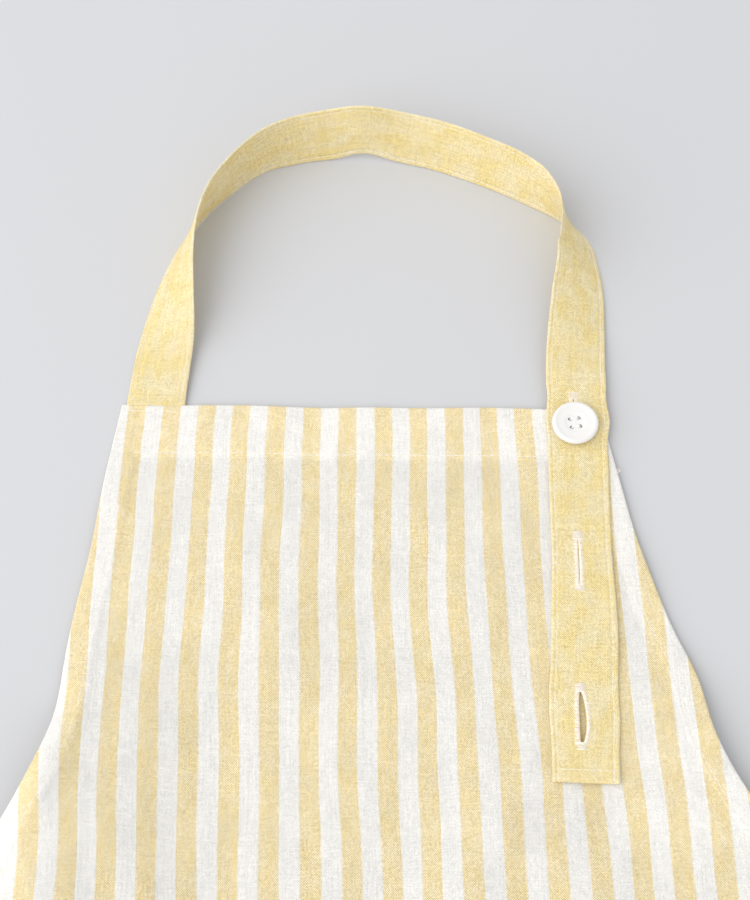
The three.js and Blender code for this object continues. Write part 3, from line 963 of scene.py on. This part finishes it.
def satin_runs(hole):
    """The close stitches along both lips of a buttonhole, and the bars at its two ends."""
    centre = HOLE_CENTRES[hole]
    runs = []
    for sign in (-1, 1):
        v = np.arange(centre - HOLE_HALF, centre + HOLE_HALF, 0.58)
        v = v + rng.uniform(-0.12, 0.12, len(v))
        inner = on_strap(HOLE_ACROSS + sign * rng.uniform(0.02, 0.3, len(v)), v)
        reach = SATIN + rng.uniform(-0.7, 0.25, len(v))
        outer = on_strap(HOLE_ACROSS + sign * reach, v + rng.uniform(0.05, 0.45, len(v)))
        runs.append((inner, outer, upwards(v)))
        back = on_strap(HOLE_ACROSS + sign * 0.06, v + 0.26)
        out = on_strap(HOLE_ACROSS + sign * (SATIN - 0.8 + rng.uniform(-0.4, 0.4, len(v))), v + 0.2, 0.1)
        runs.append((back, out, upwards(v)))
    for end, reach in ((1, 3.0), (-1, 2.3 if hole else 0.4)):
        v = centre + end * (HOLE_HALF + np.arange(-0.5, reach, 0.46))
        wide = SATIN + rng.uniform(-0.6, 0.4, len(v))
        left = on_strap(HOLE_ACROSS - wide, v, 0.16)
        right = on_strap(HOLE_ACROSS + wide, v + rng.uniform(0.0, 0.25, len(v)), 0.16)
        runs.append((left, right, upwards(v)))
    return runs


def buttonhole(hole, material, body):
    """The stitches of a buttonhole. Those of the first one are pressed flat under the button."""
    radius, arch = (0.2, 0.3) if hole else (0.17, 0.05)
    piece = stitches(f"buttonhole_thread_{hole + 1}", satin_runs(hole), material, radius, arch)
    stand_in(piece, body, f"buttonhole_stitching_{hole + 1}")


def neck_strap(cloth, thread):
    on_bib = bib_frame(np.r_[-1.0, np.arange(-2.5, SPLIT_V, -0.8), SPLIT_V])
    loop = joined(loop_frame(), on_bib)
    piece = slit_strap("neck_strap", loop, cloth)
    seams = stitches("neck_strap_seams", strap_seams(loop), thread, 0.2, 0.14)
    for part in (piece, seams):
        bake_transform(part)
    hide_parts("strap_anchor", "neck_strap_loop", "strap_tab")


def strap_tail(cloth, thread, edging):
    rounding = np.array([1.6, 1.1, 0.6, 0.25, 0.0])
    v = np.r_[np.arange(SPLIT_V - 0.02, -STRAP_END + 2, -0.8), -STRAP_END + rounding]
    tail = joined(bib_frame(v))
    piece = slit_strap("strap_tail_cloth", tail, cloth)
    runs = strap_seams(tail)
    across = np.arange(1.2, 26, 0.5)
    line = on_strap(across, np.full(len(across), -STRAP_END + 5.0))
    runs.append(run_of_stitches(line, upwards(line), *STRAP_STITCH))
    seams = stitches("strap_tail_seams", runs, thread, 0.2, 0.14)
    for part in (piece, seams):
        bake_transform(part)
    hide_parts("strap_tail")
    buttonhole(0, edging, "bib")
    buttonhole(1, edging, "strap_free_end")
    buttonhole(2, edging, "strap_free_end")


# ---------------- tubes: thread ends, bars and windings

def tube(path, radius, sides=8):
    """A closed round tube along a path of points, with a slight taper at both ends."""
    path = np.asarray(path, float)
    run = unit(np.gradient(path, axis=0))
    helper = np.array([0.0, 0.0, 1.0]) if abs(run[0, 2]) < 0.9 else np.array([1.0, 0.0, 0.0])
    aside = unit(np.cross(run, helper))
    for i in range(1, len(path)):
        aside[i] = unit(aside[i - 1] - run[i] * np.dot(aside[i - 1], run[i]))
    other = np.cross(run, aside)
    cosine, sine = circle(sides)
    swell = np.ones(len(path))
    swell[[0, -1]] = 0.6
    ring = aside[:, None] * cosine[:, None] + other[:, None] * sine[:, None]
    points = path[:, None] + ring * (radius * swell)[:, None, None]
    return points.reshape(-1, 3), ring_faces(len(path), sides)


def tubes(name, paths, radius, material):
    points, faces = [], []
    count = 0
    for path in paths:
        more, skin = tube(path, radius)
        points.append(more)
        faces.extend(tuple(i + count for i in face) for face in skin)
        count += len(more)
    return make_piece(name, np.vstack(points), faces, material)


def turned(profile, segments):
    """A solid of revolution from (radius, height) pairs that start and end on the axis."""
    profile = np.asarray(profile, float)
    ring = profile[1:-1]
    cosine, sine = circle(segments)
    height = ring[:, 1:] + 0 * sine
    points = np.stack([ring[:, :1] * cosine, ring[:, :1] * sine, height], -1).reshape(-1, 3)
    faces = ring_faces(len(ring), segments)[:-2]
    last = (len(ring) - 1) * segments
    low, high = len(points), len(points) + 1
    points = np.vstack([points, [0, 0, profile[0, 1]], [0, 0, profile[-1, 1]]])
    for j in range(segments):
        n = (j + 1) % segments
        faces.append((low, n, j))
        faces.append((high, last + j, last + n))
    return points, faces


# ---------------- the button

BUTTON_BASE = BUTTON_BACK + 0.5
BUTTON_PROFILE = (
    (0, 0), (8.6, 0), (9.3, 0.06), (9.85, 0.3), (10.25, 0.7), (10.48, 1.25), (10.4, 1.8), (10.1, 2.2),
    (9.7, 2.46), (9.2, 2.58), (8.75, 2.55), (8.3, 2.42), (7.8, 2.28), (7.0, 2.17), (6.0, 2.08),
    (5.2, 2.02), (4.75, 1.97), (4.4, 1.85), (4.1, 1.74), (3.8, 1.7), (0, 1.7),
)
BUTTON_SHRINK = 0.978
DRILL_PROFILE = (
    (0, -1), (0.8, -1), (0.8, 1.35), (0.86, 1.52), (1.0, 1.68), (1.22, 1.78), (1.22, 4), (0, 4),
)


def button_holes():
    """The four holes' middles, turned as the button is: two on the left, then two on the right."""
    c, s = math.cos(BUTTON_TURN) * HOLE_SPREAD, math.sin(BUTTON_TURN) * HOLE_SPREAD
    return [(BUTTON_X + c * sx - s * sy, BUTTON_Y + s * sx + c * sy) for sx in (-1, 1) for sy in (-1, 1)]


def drill(disc, x, y):
    """Cuts one countersunk hole."""
    points, faces = turned(DRILL_PROFILE, 32)
    cutter = show("cutter", plain_mesh("cutter", points + (x, y, BUTTON_BASE), faces))
    cut = disc.modifiers.new("cut", "BOOLEAN")
    cut.object = cutter
    cut.operation = "DIFFERENCE"
    cut.solver = "EXACT"
    drilled = bpy.data.meshes.new_from_object(disc.evaluated_get(bpy.context.evaluated_depsgraph_get()))
    disc.modifiers.clear()
    disc.data = drilled
    bpy.data.objects.remove(cutter)


def button_disc(plastic):
    points, faces = turned(BUTTON_PROFILE, 128)
    points = points * (BUTTON_SHRINK, BUTTON_SHRINK, 1.0) + (BUTTON_X, BUTTON_Y, BUTTON_BASE)
    disc = make_piece("shirt_button", points, faces, plastic, sharp=60.0)
    for x, y in button_holes():
        drill(disc, x, y)
    disc.data.set_sharp_from_angle(angle=math.radians(35))
    stand_in(disc, "button_face", "button")


def button_bars(thread):
    """Two bars of three strands over the button, and the thread that fills its holes."""
    holes = button_holes()
    bars = []
    for low, high in ((holes[0], holes[2]), (holes[1], holes[3])):
        along = unit(np.subtract(high, low))
        for k in (-1, 0, 1):
            rise = 1.82 - 0.06 * abs(k)
            off = np.array([-along[1], along[0]]) * k * 0.22
            a, b = low + off + along * 0.15, high + off - along * 0.15
            stops = [
                (*a, -0.3), (*(a + along * 0.05), 1.2), (*(a + along * 0.55), rise),
                (*((a + b) / 2), rise + 0.08),
                (*(b - along * 0.55), rise), (*(b - along * 0.05), 1.2), (*b, -0.3),
            ]
            bars.append(catmull(stops, [3] * 6) + (0, 0, BUTTON_BASE))
    piece = tubes("button_thread_bars", bars, 0.15, thread)
    plugs = [[(x, y, BUTTON_BASE + z) for z in (-0.3, 0.2, 0.5, 0.7)] for x, y in holes]
    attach(tubes("button_thread_tufts", plugs, 0.55, thread), "button_face")
    stand_in(piece, "button_face", "button_thread")


def button_shank(thread):
    """Upright strands from the cloth to the button, bound round with thread."""
    foot = cloth_top(BUTTON_X, BUTTON_Y, FAR_IN) + wave(BUTTON_X, BUTTON_Y) - 0.1
    top = BUTTON_BASE - 0.02

    def at(radius, angle, height):
        x, y = BUTTON_X + radius * np.cos(angle), BUTTON_Y + radius * np.sin(angle)
        return np.stack(np.broadcast_arrays(x, y, height), -1)
    turn = np.linspace(0, 2 * math.pi * 7, 150)
    climb = foot + (top - foot) * (0.06 + 0.88 * turn / turn[-1])
    strands = [at(1.02 + 0.05 * np.sin(turn * 0.37), turn, climb)]
    radii, heights = np.array([1.3, 0.62, 0.62, 1.2]), np.array([foot, foot + 0.5, top - 0.4, top])
    for k in range(9):
        strands.append(at(radii, k * 2 * math.pi / 9, heights))
    shank = tubes("button_shank_winding", strands, 0.24, thread)
    stand_in(shank, "shank", "button_shank")


# ---------------- loose threads

def loose_threads(thread):
    """A tip of thread at each free buttonhole, and a frayed loop on the right armhole's edge."""
    tips = {1: ((-1.9, 13.0, -1.2, 1.4), (0.6, 13.2, 0.5, 1.0)), 2: ((0.3, 13.2, 0.4, 2.0),)}
    for hole, starts in tips.items():
        paths = []
        for across, up_by, drift_x, reach in starts:
            base = on_strap(HOLE_ACROSS - across, HOLE_CENTRES[hole] + up_by, 0.15)
            stops = [base, base + (drift_x * 0.3, reach * 0.5, 0.35), base + (drift_x, reach, 0.2)]
            paths.append(catmull(stops, [4, 4]))
        piece = tubes(f"thread_tips_{hole + 1}", paths, 0.13, thread)
        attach(piece, "strap_free_end")
    y = -38.0
    x = float(edge_x(1, np.array([y]), 0.9)[0])
    z = 1.3 + float(wave(x, y))
    loops = [
        [(-0.6, 0.8, 0), (0.5, 0.9, 0.1), (0.9, 0.1, -0.2), (0.2, -0.6, -0.3)],
        [(-0.5, -0.2, 0), (0.6, -0.3, 0.2), (1.4, 0.4, 0.1)],
    ]
    paths = [catmull(stops, [5] * (len(stops) - 1)) + (x, y, z) for stops in loops]
    piece = tubes("edge_fray", paths, 0.14, thread)
    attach(piece, "bib")


# ---------------- the waist ties

TIE_BEND = 1.0
TIE_THICK = 0.9
TIE_ACROSS = np.array([0, 0.15, 0.45, 0.9, 1.5, 2.2, 2.9, 4.5, 7, 10, 13, 15, 17, 20, 23, 25.5,
                       27.1, 27.8, 28.5, 29.1, 29.55, 29.85, 30])


def tie_lay(along, across, off, sign):
    """Points of the folded tie: off is the height from the middle of the cloth."""
    past = (along - (TIE_FOLD_X - TIE_START_X) - across) / math.sqrt(2)
    bend = np.clip(past / TIE_BEND, 0, math.pi)
    after = np.maximum(0, past - math.pi * TIE_BEND)
    radius = TIE_BEND - off
    step = (np.minimum(past, 0) + radius * np.sin(bend) - after - past) / math.sqrt(2)
    slack = np.minimum(after * math.sqrt(2) * 0.0085, 1.95)
    ripple = 0.16 * np.sin(along / 21) + 0.12 * np.sin(along / 9 + across / 9)
    ripple = np.maximum(ripple * smooth(after, 130, 200), -0.05)
    sway = 1.1 * np.sin(after / 95) * smooth(after, 20, 90)
    z = 0.52 + TIE_BEND - radius * np.cos(bend) - slack + ripple
    return np.stack([sign * (TIE_START_X + along + step + sway), TIE_TOP_Y - across + step, z], -1)


def tie_rows():
    """Distances along the tie, close together over its fold."""
    fold = TIE_FOLD_X - TIE_START_X
    past_fold = fold + TIE_WIDTH + 6
    return np.r_[
        0, 0.25, 0.6, 1.1, np.arange(3, fold - 1, 3), np.arange(fold - 1, past_fold, 0.5),
        np.arange(past_fold, TIE_LENGTH - 3, 3), TIE_LENGTH - np.array([2.2, 1.1, 0.6, 0.25, 0]),
    ]


def tie(word, sign, cloth, thread):
    along = tie_rows()
    a, c = np.meshgrid(along, TIE_ACROSS, indexing="ij")
    side_edge = np.minimum(c, TIE_WIDTH - c)
    edge = np.minimum(side_edge, np.minimum(a, TIE_LENGTH - a))
    half = TIE_THICK / 2 * round_edge(edge, 0.8) - 0.16 * bump(side_edge, STRAP_SEAM, 0.5)
    front, back = (tie_lay(a, c, off, sign) for off in (half, -half))
    # The last table is the painted highlight along the folded edges.
    tables = (front, back, np.stack([c, a], -1), bump(edge, 0, 0.5))
    high, low, uv, fold_highlight = (table[:, ::-sign] for table in tables)
    points, faces = grid_sheet(high, low)
    uv, fold_highlight = uv.reshape(-1, 2), fold_highlight.ravel()
    piece = make_piece(f"tie_cloth_{word}", points, faces, cloth, uv, fold_highlight, 45.0)
    runs = []
    for across in (STRAP_SEAM, TIE_WIDTH - STRAP_SEAM):
        for face in (1, -1):
            sewn = along[4:-3]
            line = tie_lay(sewn, across, face * (TIE_THICK / 2 - 0.14), sign)
            above = tie_lay(sewn, across, face * (TIE_THICK / 2 + 0.3), sign)
            runs.append(run_of_stitches(line, unit(above - line), 2.5, 0.5))
    seams = stitches(f"tie_seams_{word}", runs, thread, 0.2, 0.1)
    for part in (piece, seams):
        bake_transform(part)
    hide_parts(f"tie_end_{word}", f"waist_tie_{word}")


def tie_box(word, sign, thread):
    """A square of stitches and its two diagonals, which sew the tie to the skirt."""
    corners = [(-1, -1), (1, -1), (1, 1), (-1, 1), (-1, -1), (1, 1)]
    runs = []
    for (ax, ay), (bx, by) in [*zip(corners, corners[1:]), ((-1, 1), (1, -1))]:
        x = sign * (TIE_START_X + 10 + TIE_BOX * np.linspace(ax, bx, 40))
        y = TIE_TOP_Y - TIE_WIDTH / 2 + TIE_BOX * np.linspace(ay, by, 40)
        runs.append(seam_on_cloth(x, y, inset_half(y, 0.0) - np.abs(x), 2.4, 0.5))
    boxed = stitches(f"tie_box_{word}", runs, thread)
    stand_in(boxed, "skirt", f"tie_box_stitch_{word}")


FLOOR_RADIUS = 30.0


def floor():
    """A round floor, wide enough that its rim is far from every view."""
    cosine, sine = circle(96)
    rim = np.stack([FLOOR_RADIUS * cosine, FLOOR_RADIUS * sine, 0 * sine], 1)
    mesh = bpy.data.meshes.new("floor")
    mesh.from_pydata(rim.tolist(), [], [tuple(range(len(rim)))])
    mesh.materials.append(floor_paper())
    plane = show("floor", mesh)
    plane.location = (0, 0, -0.0002)


def build():
    camera()
    studio()
    striped = striped_cotton()
    strap_cloth = chambray()
    thread = sewing_thread("sewing_thread", COTTON_THREAD)
    white_thread = sewing_thread("button_thread", BUTTON_THREAD)
    strap_thread = sewing_thread("strap_thread", STRAP_THREAD)
    apron_cloth(striped)
    hems(striped)
    cloth_seams(thread)
    neck_strap(strap_cloth, strap_thread)
    strap_tail(strap_cloth, strap_thread, sewing_thread("buttonhole_thread", BUTTONHOLE_THREAD))
    button_disc(button_plastic())
    button_bars(white_thread)
    button_shank(white_thread)
    loose_threads(strap_thread)
    for word, sign in SIDES:
        tie(word, sign, strap_cloth, strap_thread)
        tie_box(word, sign, strap_thread)
    floor()


build()
